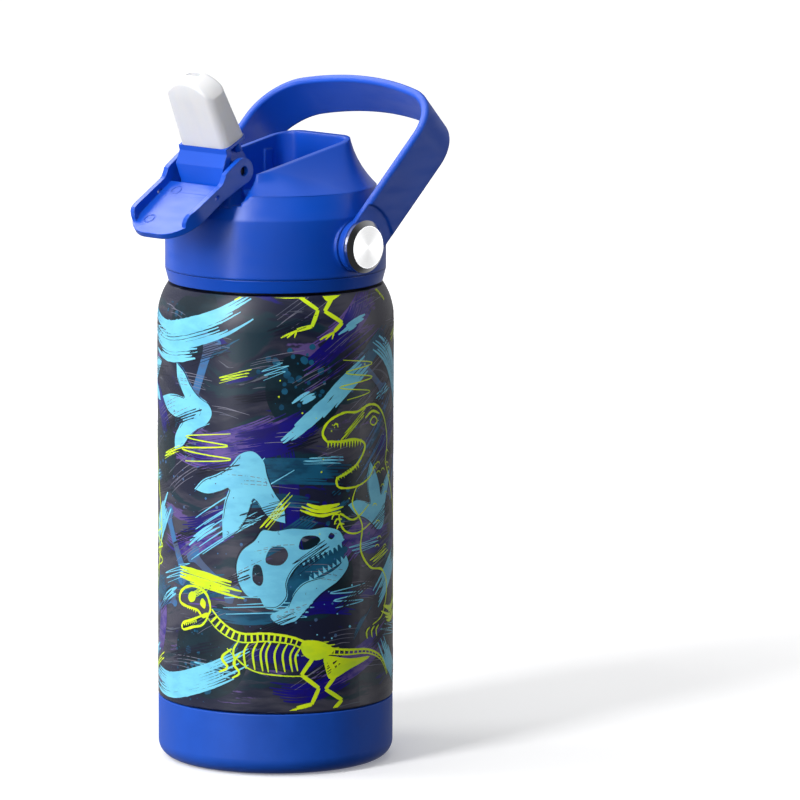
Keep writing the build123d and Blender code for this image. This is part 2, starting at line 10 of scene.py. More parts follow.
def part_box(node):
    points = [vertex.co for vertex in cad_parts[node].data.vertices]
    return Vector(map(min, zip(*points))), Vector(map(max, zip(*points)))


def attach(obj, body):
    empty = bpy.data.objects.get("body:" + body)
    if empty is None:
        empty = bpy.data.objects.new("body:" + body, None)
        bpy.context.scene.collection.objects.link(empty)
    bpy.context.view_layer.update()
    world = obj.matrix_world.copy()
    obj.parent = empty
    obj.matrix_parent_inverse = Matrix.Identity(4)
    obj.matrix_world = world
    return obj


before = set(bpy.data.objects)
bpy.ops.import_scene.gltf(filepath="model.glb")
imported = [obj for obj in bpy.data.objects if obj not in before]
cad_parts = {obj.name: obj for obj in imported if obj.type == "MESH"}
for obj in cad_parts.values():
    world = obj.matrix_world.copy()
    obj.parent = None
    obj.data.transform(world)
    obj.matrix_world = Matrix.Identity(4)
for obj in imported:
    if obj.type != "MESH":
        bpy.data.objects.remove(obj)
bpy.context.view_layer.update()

MM = 0.001


# ======================================================================================
# camera
# ======================================================================================

VIEW_AZIMUTH = math.radians(45)
VIEW_DROP = math.radians(9.2967)
VIEW_DISTANCE = 2.1781
VIEW_TARGET_HEIGHT = 0.0942
LENS = 316.47
SENSOR_WIDTH = 36
SHIFT_ACROSS, SHIFT_UP = 0.1555, 0.0681
CLIP_NEAR, CLIP_FAR = 0.05, 50

camera_data = bpy.data.cameras.new("camera")
camera = bpy.data.objects.new("camera", camera_data)
bpy.context.scene.collection.objects.link(camera)
camera.location = (
    VIEW_DISTANCE * math.cos(VIEW_DROP) * math.sin(VIEW_AZIMUTH),
    -VIEW_DISTANCE * math.cos(VIEW_DROP) * math.cos(VIEW_AZIMUTH),
    VIEW_TARGET_HEIGHT + VIEW_DISTANCE * math.sin(VIEW_DROP),
)
camera.rotation_euler = (math.pi / 2 - VIEW_DROP, 0, VIEW_AZIMUTH)
camera_data.lens = LENS
camera_data.sensor_width = SENSOR_WIDTH
camera_data.shift_x, camera_data.shift_y = SHIFT_ACROSS, SHIFT_UP
camera_data.clip_start, camera_data.clip_end = CLIP_NEAR, CLIP_FAR
bpy.context.scene.camera = camera


# ======================================================================================
# studio
# ======================================================================================

LIGHT_AIM = Vector((0, 0, 0.1))
GLOW_FROM = (-0.45, -0.85, 0.3)
GLOW_SPAN = (-0.6, 0.9)
GLOW_STRENGTH = (0.03, 0.55)
FLOOR_RADIUS = 9.0
FLOOR_HEIGHT = -0.0002
FLOOR_TONE = (0.86, 0.86, 0.87, 1)
WHITE = (1, 1, 1, 1)
PAPER_SHADE_SPAN = (0.05, 0.9)
PAPER_GLOW = (0.22, 0.7)


def in_view(right, toward, up):
    """A place in metres to the right of, in front of and above the object, as the camera sees it."""
    across = Vector((math.cos(VIEW_AZIMUTH), math.sin(VIEW_AZIMUTH), 0))
    front = Vector((math.sin(VIEW_AZIMUTH), -math.cos(VIEW_AZIMUTH), 0))
    return across * right + front * toward + Vector((0, 0, up))


def softbox(name, place, size, power, glossy=True, diffuse=True):
    """A soft rectangular light aimed at the bottle; the flags say which kinds of light it gives."""
    light = bpy.data.lights.new(name, "AREA")
    light.shape = "RECTANGLE"
    light.size, light.size_y = size
    light.energy = power
    box = bpy.data.objects.new(name, light)
    bpy.context.scene.collection.objects.link(box)
    box.location = place
    box.rotation_euler = (LIGHT_AIM - place).to_track_quat("-Z", "Y").to_euler()
    box.visible_glossy = glossy
    box.visible_diffuse = diffuse


def surround():
    """Plain white to the camera; on the object a glow from behind, left, that fades to the front."""
    world = bpy.data.worlds.new("surround")
    bpy.context.scene.world = world
    world.use_nodes = True
    nodes, links = world.node_tree.nodes, world.node_tree.links
    direction = nodes.new("ShaderNodeTexCoord").outputs["Generated"]
    toward = nodes.new("ShaderNodeVectorMath")
    toward.operation = "DOT_PRODUCT"
    toward.inputs[1].default_value = in_view(*GLOW_FROM).normalized()
    links.new(direction, toward.inputs[0])
    glow = nodes.new("ShaderNodeMapRange")
    glow.interpolation_type = "SMOOTHSTEP"
    glow.inputs["From Min"].default_value, glow.inputs["From Max"].default_value = GLOW_SPAN
    glow.inputs["To Min"].default_value, glow.inputs["To Max"].default_value = GLOW_STRENGTH
    links.new(toward.outputs["Value"], glow.inputs["Value"])
    seen = nodes.new("ShaderNodeLightPath").outputs["Is Camera Ray"]
    strength = nodes.new("ShaderNodeMath")
    strength.operation = "MAXIMUM"
    links.new(glow.outputs["Result"], strength.inputs[0])
    links.new(seen, strength.inputs[1])
    background = nodes["Background"]
    background.inputs["Color"].default_value = WHITE
    links.new(strength.outputs["Value"], background.inputs["Strength"])


def floor():
    """A round sheet of white paper that shows shadows but casts no light on the object. It glows least
    round the bottle's base, as painted shade there, and more further out so that it reads white.
    """
    sheet = bmesh.new()
    bmesh.ops.create_circle(sheet, cap_ends=True, radius=FLOOR_RADIUS, segments=96)
    mesh = bpy.data.meshes.new("floor")
    sheet.to_mesh(mesh)
    sheet.free()
    plane = bpy.data.objects.new("floor", mesh)
    bpy.context.scene.collection.objects.link(plane)
    plane.location.z = FLOOR_HEIGHT
    plane.visible_diffuse = False
    plane.visible_glossy = False
    paper = bpy.data.materials.new("floor_paper")
    paper.use_nodes = True
    shader = paper.node_tree.nodes["Principled BSDF"]
    shader.inputs["Base Color"].default_value = FLOOR_TONE
    shader.inputs["Roughness"].default_value = 0.7
    shader.inputs["Specular IOR Level"].default_value = 0.1
    shader.inputs["Emission Color"].default_value = WHITE
    nodes, links = paper.node_tree.nodes, paper.node_tree.links
    # painted shade: the paper's glow is weakest next to the bottle and grows with distance, darkening
    # the floor round its base
    reach = nodes.new("ShaderNodeVectorMath")
    reach.operation = "LENGTH"
    links.new(nodes.new("ShaderNodeTexCoord").outputs["Object"], reach.inputs[0])
    base_shade_fade = nodes.new("ShaderNodeMapRange")
    base_shade_fade.interpolation_type = "SMOOTHSTEP"
    base_shade_fade.inputs["From Min"].default_value, base_shade_fade.inputs["From Max"].default_value = PAPER_SHADE_SPAN
    base_shade_fade.inputs["To Min"].default_value, base_shade_fade.inputs["To Max"].default_value = PAPER_GLOW
    links.new(reach.outputs["Value"], base_shade_fade.inputs["Value"])
    links.new(base_shade_fade.outputs["Result"], shader.inputs["Emission Strength"])
    mesh.materials.append(paper)


def studio():
    """White floor and surround, a tall key and its gloss strip on the left, and soft fills all round."""
    bpy.context.scene.view_settings.view_transform = "Standard"
    surround()
    floor()
    softbox("key", in_view(-1.15, 1.15, 1.05), (0.4, 1.5), 31)
    softbox("strip", in_view(-1.2, 1.2, 0.35), (0.24, 1.2), 9, diffuse=False)
    softbox("fill", in_view(-0.1, 1.7, 0.6), (1.4, 1.4), 9, glossy=False)
    softbox("left", in_view(-1.5, -0.1, 0.6), (0.8, 1.4), 14, glossy=False)
    softbox("right", in_view(1.55, -0.1, 0.2), (0.45, 1.3), 4.4)
    softbox("top", in_view(-0.2, 0.2, 1.6), (1.2, 1.2), 5.5)
    softbox("back", in_view(-0.85, -1.2, 1.45), (1.0, 1.0), 15, diffuse=False)


studio()


# ======================================================================================
# materials
# ======================================================================================

BEVEL_SAMPLES = 6


class Shader:
    """One material's node tree, with short calls for the nodes that the materials share."""

    def __init__(self, name):
        self.material = bpy.data.materials.new(name)
        self.material.use_nodes = True
        self.tree = self.material.node_tree
        self.surface = self.tree.nodes["Principled BSDF"]
        self.place = self.tree.nodes.new("ShaderNodeTexCoord").outputs["Object"]

    def node(self, kind, inputs=None, **settings):
        """A new node with its settings and its named inputs filled in."""
        made = self.tree.nodes.new(kind)
        for key, value in settings.items():
            setattr(made, key, value)
        for key, value in (inputs or {}).items():
            self.put(made.inputs[key], value)
        return made

    def put(self, socket, value):
        """Links another node's output to the socket, or sets a plain value on it."""
        if isinstance(value, bpy.types.NodeSocket):
            self.tree.links.new(value, socket)
        else:
            socket.default_value = value

    def set(self, **inputs):
        """Fills inputs of the surface shader, with underscores for the spaces in their names."""
        for key, value in inputs.items():
            self.put(self.surface.inputs[key.replace("_", " ")], value)

    def math(self, operation, *values):
        made = self.node("ShaderNodeMath", operation=operation)
        for socket, value in zip(made.inputs, values):
            self.put(socket, value)
        return made.outputs[0]

    def noise(self, scale, detail=3.0, roughness=0.5, at=None):
        """Noise in the piece's own space, or at the given place."""
        settings = {"Scale": scale, "Detail": detail, "Roughness": roughness}
        made = self.node("ShaderNodeTexNoise", settings)
        self.put(made.inputs["Vector"], at or self.place)
        return made.outputs["Fac"]

    def stretch(self, scale, at=None):
        """The place scaled along each axis, which draws noise out into streaks."""
        made = self.node("ShaderNodeMapping")
        self.put(made.inputs["Vector"], at or self.place)
        made.inputs["Scale"].default_value = scale
        return made.outputs["Vector"]

    def ramp(self, value, low, high, to_low=0.0, to_high=1.0):
        """A smooth step from to_low to to_high as the value goes from low to high."""
        made = self.node("ShaderNodeMapRange", interpolation_type="SMOOTHSTEP")
        self.put(made.inputs["Value"], value)
        made.inputs["From Min"].default_value, made.inputs["From Max"].default_value = low, high
        made.inputs["To Min"].default_value, made.inputs["To Max"].default_value = to_low, to_high
        return made.outputs["Result"]

    def mix(self, factor, a, b):
        """A colour between a and b; each is a plain colour or another node's output."""
        made = self.node("ShaderNodeMix", data_type="RGBA")
        self.put(made.inputs["Factor"], factor)
        for socket, value in ((made.inputs["A"], a), (made.inputs["B"], b)):
            self.put(socket, value if isinstance(value, bpy.types.NodeSocket) else (*value, 1.0))
        return made.outputs["Result"]

    def bump(self, height, strength, distance, edge=0.0):
        """Fine relief, on edges that catch the light as if rounded to the given radius."""
        made = self.node("ShaderNodeBump", {"Strength": strength, "Distance": distance})
        self.put(made.inputs["Height"], height)
        if edge:
            rounded = self.node("ShaderNodeBevel", {"Radius": edge}, samples=BEVEL_SAMPLES)
            self.put(made.inputs["Normal"], rounded.outputs["Normal"])
        self.put(self.surface.inputs["Normal"], made.outputs["Normal"])


def moulded_plastic(name, dark, light, gloss=0.31, edge=0.00045):
    """Satin moulded plastic: fine grain, soft tone drift and faint handling marks."""
    shader = Shader(name)
    drift = shader.ramp(shader.noise(28, 2), 0.35, 0.65)
    shader.set(Base_Color=shader.mix(drift, dark, light))
    marks = shader.noise(1.0, 4, at=shader.stretch((90, 90, 420)))
    shader.set(Roughness=shader.ramp(marks, 0.35, 0.75, gloss, gloss + 0.1))
    shader.bump(shader.noise(5200, 2), 0.1, 0.00004, edge)
    shader.set(Specular_IOR_Level=0.42)
    return shader.material


def soft_silicone(name, dark, light, roughness=0.52):
    """Matt silicone: even skin with a powdery bloom and a little sheen."""
    shader = Shader(name)
    bloom = shader.noise(60, 5, 0.6)
    shader.set(Base_Color=shader.mix(shader.ramp(bloom, 0.4, 0.7), dark, light))
    shader.set(Roughness=shader.ramp(bloom, 0.3, 0.7, roughness - 0.04, roughness + 0.06))
    shader.bump(shader.noise(3600, 2), 0.16, 0.00005)
    shader.set(Specular_IOR_Level=0.38)
    return shader.material


FROST_DEEP, FROST_PALE = (0.9, 0.915, 0.95), (0.935, 0.94, 0.955)
FROST_DEPTH = (0.006, 0.007, 0.008)


def frosted_silicone(name):
    """Frosted silicone that lets light through, with faint flow lines and a cloudier skin."""
    shader = Shader(name)
    cloud = shader.noise(120, 4, 0.6)
    flow = shader.noise(1.0, 2, at=shader.stretch((260, 120, 30)))
    shader.set(Base_Color=shader.mix(shader.ramp(flow, 0.35, 0.65), FROST_DEEP, FROST_PALE))
    shader.set(Roughness=shader.ramp(cloud, 0.3, 0.7, 0.3, 0.42))
    shader.set(Transmission_Weight=0.2, IOR=1.41)
    shader.set(Subsurface_Weight=0.35, Subsurface_Radius=FROST_DEPTH, Subsurface_Scale=1.0)
    shader.bump(shader.noise(2600, 2), 0.08, 0.00004)
    return shader.material


def milky_plastic(name, tint):
    """Natural, slightly cloudy plastic of the parts inside."""
    shader = Shader(name)
    cloud = shader.noise(200, 3)
    deeper = tuple(0.9 * c for c in tint)
    shader.set(Base_Color=shader.mix(shader.ramp(cloud, 0.35, 0.65), deeper, tint))
    shader.set(Roughness=shader.ramp(cloud, 0.3, 0.7, 0.35, 0.46))
    shader.set(Transmission_Weight=0.3)
    return shader.material


def brushed_steel(name, tint, roughness=0.27, lines=(60, 60, 2400)):
    """Satin stainless steel with fine brushing lines round the wall."""
    shader = Shader(name)
    streak = shader.noise(1.0, 3, at=shader.stretch(lines))
    darker = tuple(0.86 * c for c in tint)
    shader.set(Base_Color=shader.mix(shader.ramp(streak, 0.3, 0.7), darker, tint))
    shader.set(Metallic=1.0)
    shader.set(Roughness=shader.ramp(streak, 0.3, 0.7, roughness, roughness + 0.14))
    shader.bump(streak, 0.12, 0.00003)
    return shader.material


CAP_LOW, CAP_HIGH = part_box("rivet_cap_left")
PIVOT_HEIGHT = (CAP_LOW.z + CAP_HIGH.z) / 2
CAP_FACE_RADIUS = 6.3 * MM
SPUN_RINGS = 9000
SPUN_DARK, SPUN_LIGHT = (0.78, 0.79, 0.8), (0.92, 0.92, 0.92)
BEVEL_TONE = (0.78, 0.79, 0.82)


def spun_steel(name):
    """Spun-brushed face whose lines run round the pivot, inside a polished bevel."""
    shader = Shader(name)
    parts = shader.node("ShaderNodeSeparateXYZ")
    shader.put(parts.inputs[0], shader.place)
    up = shader.math("SUBTRACT", parts.outputs["Z"], PIVOT_HEIGHT)
    square = shader.math(
        "ADD",
        shader.math("MULTIPLY", parts.outputs["Y"], parts.outputs["Y"]),
        shader.math("MULTIPLY", up, up),
    )
    radius = shader.math("SQRT", square)
    rings = shader.node("ShaderNodeTexNoise", {"Scale": 1.0, "Detail": 4.0}, noise_dimensions="1D")
    shader.put(rings.inputs["W"], shader.math("MULTIPLY", radius, SPUN_RINGS))
    face = shader.math("LESS_THAN", radius, CAP_FACE_RADIUS)
    tone = shader.mix(shader.ramp(rings.outputs["Fac"], 0.3, 0.7), SPUN_DARK, SPUN_LIGHT)
    shader.set(Base_Color=shader.mix(face, BEVEL_TONE, tone))
    shader.set(Metallic=1.0)
    shader.set(Roughness=shader.math("MULTIPLY_ADD", face, 0.2, 0.1))
    height = shader.math("MULTIPLY", rings.outputs["Fac"], face)
    shader.bump(height, 0.2, 0.00003)
    shader.set(Anisotropic=0.75)
    tangent = shader.node("ShaderNodeTangent", direction_type="RADIAL", axis="X")
    shader.set(Tangent=tangent.outputs["Tangent"])
    return shader.material


PATCH_SCALE = (90.0, 90.0, 216.0)


def print_coat(name, colour, second):
    """Matt printed powder coat: grainy skin and a colour that drifts between two tones."""
    shader = Shader(name)
    patches = shader.noise(1.0, 4, 0.62, at=shader.stretch(PATCH_SCALE))
    shader.set(Base_Color=shader.mix(shader.ramp(patches, 0.42, 0.62), colour, second))
    coat_skin(shader)
    return shader.material


def coat_skin(shader):
    """The fine-grained powder skin that the whole printed wall shares."""
    grain = shader.noise(2100, 3, 0.6)
    shader.set(Roughness=shader.ramp(grain, 0.3, 0.7, 0.34, 0.48))
    shader.bump(grain, 0.45, 0.00006)
    shader.set(Specular_IOR_Level=0.45)


GROUND = (0.009, 0.012, 0.036)
CLOUD_DRIFT = (0.0, 0.0, 0.03)
LAYER_SHIFT = (0.31, 0.17, 0.23)
# each layer's stretch, where it starts and is full in the noise, and its tint
CLOUD_LAYERS = (
    ((17, 17, 70), 0.44, 0.60, (0.056, 0.056, 0.082)),
    ((26, 26, 130), 0.55, 0.61, (0.004, 0.026, 0.045)),
    ((33, 33, 170), 0.60, 0.64, (0.006, 0.004, 0.17)),
    ((41, 41, 210), 0.62, 0.66, (0.11, 0.07, 0.24)),
    ((30, 30, 420), 0.63, 0.65, (0.10, 0.11, 0.15)),
)


def painted_ground(name):
    """Charcoal navy ground with drawn-out clouds of purple, deep blue and teal under the print."""
    shader = Shader(name)
    warp = shader.node("ShaderNodeTexNoise", {"Scale": 22.0, "Detail": 2.0})
    shader.put(warp.inputs["Vector"], shader.place)
    moved = shader.node("ShaderNodeVectorMath", operation="MULTIPLY_ADD")
    shader.put(moved.inputs[0], warp.outputs["Color"])
    moved.inputs[1].default_value = CLOUD_DRIFT
    shader.put(moved.inputs[2], shader.place)
    swept = moved.outputs["Vector"]
    colour = GROUND
    for index, (scale, low, high, tint) in enumerate(CLOUD_LAYERS):
        shifted = shader.node("ShaderNodeVectorMath", operation="ADD")
        shader.put(shifted.inputs[0], swept)
        shifted.inputs[1].default_value = tuple(step * index for step in LAYER_SHIFT)
        streak = shader.noise(1.0, 5, 0.6, at=shader.stretch(scale, shifted.outputs["Vector"]))
        colour = shader.mix(shader.ramp(streak, low, high), colour, tint)
    shader.set(Base_Color=colour)
    coat_skin(shader)
    return shader.material


LID_DARK, LID_LIGHT = (0.003, 0.068, 0.50), (0.004, 0.082, 0.58)
BOOT_DARK, BOOT_LIGHT = (0.004, 0.07, 0.46), (0.006, 0.082, 0.52)
CLEAR_SILICONE = (0.85, 0.86, 0.88)
ALONG_PIN = (900, 60, 60)
FINISHES = {
    "outer_shell": lambda: painted_ground("printed_ground"),
    "inner_liner": lambda: brushed_steel("liner_steel", (0.62, 0.62, 0.64)),
    "base_plate": lambda: brushed_steel("plate_steel", (0.55, 0.55, 0.57)),
    "vacuum_getter": lambda: brushed_steel("getter_alloy", (0.4, 0.4, 0.42), 0.45),
    "base_boot": lambda: soft_silicone("boot_silicone", BOOT_DARK, BOOT_LIGHT),
    "lid_base": lambda: moulded_plastic("inner_cap_plastic", LID_DARK, LID_LIGHT),
    "lid_shell": lambda: moulded_plastic("lid_plastic", LID_DARK, LID_LIGHT, edge=0.0011),
    "lid_seal": lambda: milky_plastic("seal_silicone", CLEAR_SILICONE),
    "port_seal": lambda: milky_plastic("port_silicone", CLEAR_SILICONE),
    "vent_valve": lambda: milky_plastic("valve_silicone", CLEAR_SILICONE),
    "straw_connector": lambda: milky_plastic("connector_silicone", CLEAR_SILICONE),
    "straw": lambda: milky_plastic("straw_plastic", (0.82, 0.85, 0.9)),
    # painted shade: the pin's steel is made near black so that the hole in the hinge ear reads dark
    "hinge_pin": lambda: brushed_steel("pin_painted_shade_steel", (0.07, 0.07, 0.08), 0.5, ALONG_PIN),
    "spout_block": lambda: moulded_plastic("spout_plastic", LID_DARK, LID_LIGHT),
    "mouthpiece": lambda: frosted_silicone("frosted_silicone"),
    "flip_cover": lambda: moulded_plastic("cover_plastic", LID_DARK, LID_LIGHT),
    "handle_strap": lambda: moulded_plastic("handle_plastic", LID_DARK, LID_LIGHT, 0.4, 0.0009),
    "pivot_washer": lambda: milky_plastic("washer_nylon", (0.85, 0.85, 0.83)),
    "pivot_screw": lambda: brushed_steel("screw_steel", (0.6, 0.6, 0.62), 0.3, ALONG_PIN),
    "rivet_cap": lambda: spun_steel("spun_steel"),
}


def dress_frame():
    """Every carried-over CAD node gets its finish."""
    for kind, make in FINISHES.items():
        material = make()
        for name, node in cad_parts.items():
            if name == kind or name in (f"{kind}_left", f"{kind}_right"):
                node.data.materials.clear()
                node.data.materials.append(material)


dress_frame()


# ======================================================================================
# printed wall: artwork laid out flat in millimetres, then wrapped round the steel
# ======================================================================================
# Across is measured round the wall from the side that faces the camera, and up from the floor.

SHELL_LOW, SHELL_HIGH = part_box("outer_shell")
WALL_RADIUS = (SHELL_HIGH.x - SHELL_LOW.x) / 2 / MM
SHOULDER_START = 137.5
SHOULDER_ARC = 19.4
BOOT_TOP = round(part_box("base_boot")[1].z / MM, 2)
PRINT_LOW = BOOT_TOP + 1.3
PRINT_HIGH = SHOULDER_START + 11.0
REPEAT = math.pi * WALL_RADIUS
FACET = 2.0
# how far the figures reach either side, as a share of one repeat
CUT_REACH = 0.8
CUT_MERGE = 1e-5
INK_LIFT = 0.02
INK_STEP = 0.011
LINE_SPACING = 0.9
BRUSH_SPACING = 1.2
DOT_CORNERS = 9
SMALLEST_DOT = 0.16
TINY = 1e-9


def on_wall(across, up, lift):
    """The place on the wall of a point of the flat artwork, lifted off the steel."""
    angle = VIEW_AZIMUTH + across / WALL_RADIUS
    bend = max(0.0, up - SHOULDER_START) / SHOULDER_ARC
    radius = WALL_RADIUS - SHOULDER_ARC + (SHOULDER_ARC + lift) * math.cos(bend)
    height = min(up, SHOULDER_START) + (SHOULDER_ARC + lift) * math.sin(bend)
    return Vector((radius * math.sin(angle), -radius * math.cos(angle), height)) * MM


def smooth(points, closed=False, steps=7):
    """A Catmull-Rom curve through the points; a point given twice makes a sharp corner."""
    count = len(points)
    found = []
    for i in range(count if closed else count - 1):
        if points[i] == points[(i + 1) % count]:
            continue
        last = count - 1
        before = points[(i - 1) % count] if closed else points[max(i - 1, 0)]
        after = points[(i + 2) % count] if closed else points[min(i + 2, last)]
        p0, p1, p2, p3 = (Vector(p) for p in (before, points[i], points[(i + 1) % count], after))
        for step in range(steps):
            t = step / steps
            found.append(
                0.5 * (2 * p1 + (p2 - p0) * t + (2 * p0 - 5 * p1 + 4 * p2 - p3) * t**2
                       + (3 * p1 - p0 - 3 * p2 + p3) * t**3)
            )
    if not closed:
        found.append(Vector(points[-1]))
    return found


def even(path, spacing):
    """The same path with points at even spacing."""
    lengths = [0.0]
    for a, b in zip(path, path[1:]):
        lengths.append(lengths[-1] + (b - a).length)
    count = max(2, int(lengths[-1] / spacing) + 1)
    found, k = [], 0
    for i in range(count):
        want = lengths[-1] * i / (count - 1)
        while k < len(lengths) - 2 and lengths[k + 1] < want:
            k += 1
        share = (want - lengths[k]) / max(lengths[k + 1] - lengths[k], TINY)
        found.append(path[k].lerp(path[k + 1], min(1.0, share)))
    return found


def sideways(path, i):
    """Unit vector across the path at its point i, to the left of its direction."""
    step = path[min(i + 1, len(path) - 1)] - path[max(i - 1, 0)]
    return Vector((-step.y, step.x)).normalized() if step.length > TINY else Vector((0, 1))


class Ink:
    """One printed colour: flat shapes gathered here and wrapped round the wall at the end."""

    def __init__(self, name, level, colour, second):
        self.name, self.level = name, level
        self.material = print_coat(f"ink_{name}", colour, second)
        self.flat = bmesh.new()

    def polygon(self, outline, holes=()):
        """A filled shape, with its holes left open."""
        loops = [[Vector((*p, 0)) for p in ring] for ring in (outline, *holes)]
        verts = [self.flat.verts.new(p) for ring in loops for p in ring]
        for corners in tessellate_polygon(loops):
            self.flat.faces.new([verts[i] for i in corners])

    def ribbon(self, path, width, blunt=0.3, wobble=0.0, rng=None):
        """A hand-drawn line: full width in the middle, thinner at its ends."""
        sides = []
        for i, p in enumerate(path):
            t = i / (len(path) - 1)
            swell = blunt + (1 - blunt) * math.sin(math.pi * min(max(t, 0.02), 0.98)) ** 0.5
            half = width / 2 * swell * (1 + (rng.uniform(-wobble, wobble) if rng else 0))
            across = sideways(path, i) * half
            sides.append([self.flat.verts.new((*(p + s * across), 0)) for s in (-1, 1)])
        for (a, b), (c, d) in zip(sides, sides[1:]):
            self.flat.faces.new((a, b, d, c))

    def line(self, points, width=0.55, closed=False, rng=None):
        """A pen line through the points; with a source of chance its width wavers."""
        path = smooth(points, closed)
        if closed:
            path.append(path[0])
        self.ribbon(even(path, LINE_SPACING), width, 0.75 if closed else 0.35, 0.22, rng)

    def dot(self, x, y, radius, rng):
        """A small blot with an uneven rim."""
        turn = rng.uniform(0, 6)
        angles = [turn + math.tau * i / DOT_CORNERS for i in range(DOT_CORNERS)]
        ring = [
            (x + radius * math.cos(angle) * rng.uniform(0.85, 1.1),
             y + radius * math.sin(angle) * rng.uniform(0.85, 1.1))
            for angle in angles
        ]
        self.polygon(ring)

    def spatter(self, x, y, reach, count, rng, largest):
        """Dots that crowd towards the middle, most of them small."""
        for _ in range(count):
            away = reach * rng.random() ** 0.6
            turn = rng.uniform(0, math.tau)
            size = SMALLEST_DOT + (largest - SMALLEST_DOT) * rng.random() ** 2.4
            self.dot(x + away * math.cos(turn), y + away * math.sin(turn), size, rng)

    def brush(self, points, width, bristles, rng, fray):
        """A dry brush stroke: bristle tracks side by side that start and stop unevenly."""
        core = even(smooth(points), BRUSH_SPACING)
        for k in range(bristles):
            place = (k + 0.5) / bristles * 2 - 1
            start = int(len(core) * fray * rng.random() ** 1.5)
            stop = len(core) - int(len(core) * fray * rng.random())
            if stop - start < 4:
                continue
            track = [
                core[i] + sideways(core, i) * (place * width / 2 + rng.uniform(-0.05, 0.05))
                for i in range(start, stop)
            ]
            self.ribbon(track, width / bristles * rng.uniform(0.75, 1.5), 0.15, 0.1, rng)

    def teeth(self, start, end, count, length, rng):
        """A row of pointed teeth along a straight line, to its right."""
        start, end = Vector(start), Vector(end)
        along = (end - start) / count
        out = Vector((along.y, -along.x)).normalized()
        for i in range(count):
            a = start + along * (i + 0.08)
            tip = a + along * 0.42 + out * length * rng.uniform(0.75, 1.15)
            self.polygon([a, tip, a + along * 0.84])

    def cut(self, place, normal, clear=False):
        """Splits every face along a line, and can drop what lies beyond it."""
        flat = self.flat
        everything = flat.verts[:] + flat.edges[:] + flat.faces[:]
        bmesh.ops.bisect_plane(
            flat, geom=everything, dist=CUT_MERGE, plane_co=place, plane_no=normal, clear_outer=clear
        )

    def wrap(self):
        """Cuts the flat shapes to the wall's facets, wraps both repeats round it and adds the object."""
        flat = self.flat
        reach = math.ceil(CUT_REACH * REPEAT / FACET)
        for k in range(-reach, reach + 1):
            self.cut((k * FACET, 0, 0), (1, 0, 0))
        for k in range(math.ceil((PRINT_HIGH - SHOULDER_START) / FACET)):
            self.cut((0, SHOULDER_START + k * FACET, 0), (0, 1, 0))
        for edge_up, outward in ((PRINT_LOW, -1), (PRINT_HIGH, 1)):
            self.cut((0, edge_up, 0), (0, outward, 0), clear=True)
        bmesh.ops.triangulate(flat, faces=flat.faces[:])
        flat.verts.index_update()
        corners = [tuple(v.co.xy) for v in flat.verts]
        faces = [[v.index for v in f.verts] for f in flat.faces]
        flat.free()
        lift = INK_LIFT + INK_STEP * self.level
        verts, tris = [], []
        for shift in (0.0, REPEAT):
            base = len(verts)
            verts += [on_wall(x + shift, y, lift) for x, y in corners]
            for face in faces:
                a, b, c = (verts[base + i] for i in face)
                turned = (b - a).cross(c - a).dot(Vector((a.x, a.y, 0))) < 0
                tris.append([base + i for i in (reversed(face) if turned else face)])
        mesh = bpy.data.meshes.new(f"print_{self.name}")
        mesh.from_pydata(verts, [], tris)
        mesh.shade_smooth()
        mesh.materials.append(self.material)
        piece = bpy.data.objects.new(f"print_{self.name}", mesh)
        bpy.context.scene.collection.objects.link(piece)
        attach(piece, "bottle")


def placed(points, x, y, size=1.0, turn=0.0):
    """Points of a figure, turned, scaled and moved to their place on the wall."""
    c, s = math.cos(math.radians(turn)) * size, math.sin(math.radians(turn)) * size
    return [(x + c * a - s * b, y + s * a + c * b) for a, b in points]


FOOTPRINT = (
    (0, 0), (2.6, 1.6), (4.0, 4.6), (6.4, 7.4), (9.4, 9.8), (11.2, 12.8), (11.2, 12.8), (7.6, 12.4),
    (4.6, 10.6), (2.9, 9.4), (3.0, 12.4), (2.6, 16.0), (1.2, 20.6), (1.2, 20.6), (-1.4, 17.4),
    (-2.6, 13.6), (-2.9, 9.8), (-5.0, 11.2), (-7.8, 12.9), (-11.0, 13.0), (-11.0, 13.0),
    (-9.6, 9.6), (-6.6, 7.0), (-4.4, 4.2), (-2.8, 1.4),
)
# stretches of the outline with a shadow, and how far across and up it is moved
SHADOW_SIDES = ((slice(1, 7), 0.9, -0.3), (slice(21, 25), -0.9, -0.2))
SHADOW_SIZE = 1.04
SHADOW_WEIGHT = 0.3


def footprint(ink, shadow, x, y, size, turn):
    """Three long toes with pointed claws on a narrow heel, with thin shadow lines beside them."""
    ink.polygon(smooth(placed(FOOTPRINT, x, y, size, turn), closed=True, steps=5))
    for side, across, up in SHADOW_SIDES:
        beside = placed(FOOTPRINT[side], x + across, y + up, size * SHADOW_SIZE, turn)
        shadow.line(beside, SHADOW_WEIGHT)


BONE = (
    (0, 1.1), (-1.4, 2.5), (-3.0, 1.9), (-2.8, 0.2), (-3.4, -1.5), (-1.8, -2.4), (0, -1.1),
    (5, -0.9), (10, -1.1), (11.8, -2.5), (13.4, -1.7), (13.0, 0), (13.6, 1.6), (11.9, 2.6),
    (10, 1.1), (5, 0.9),
)

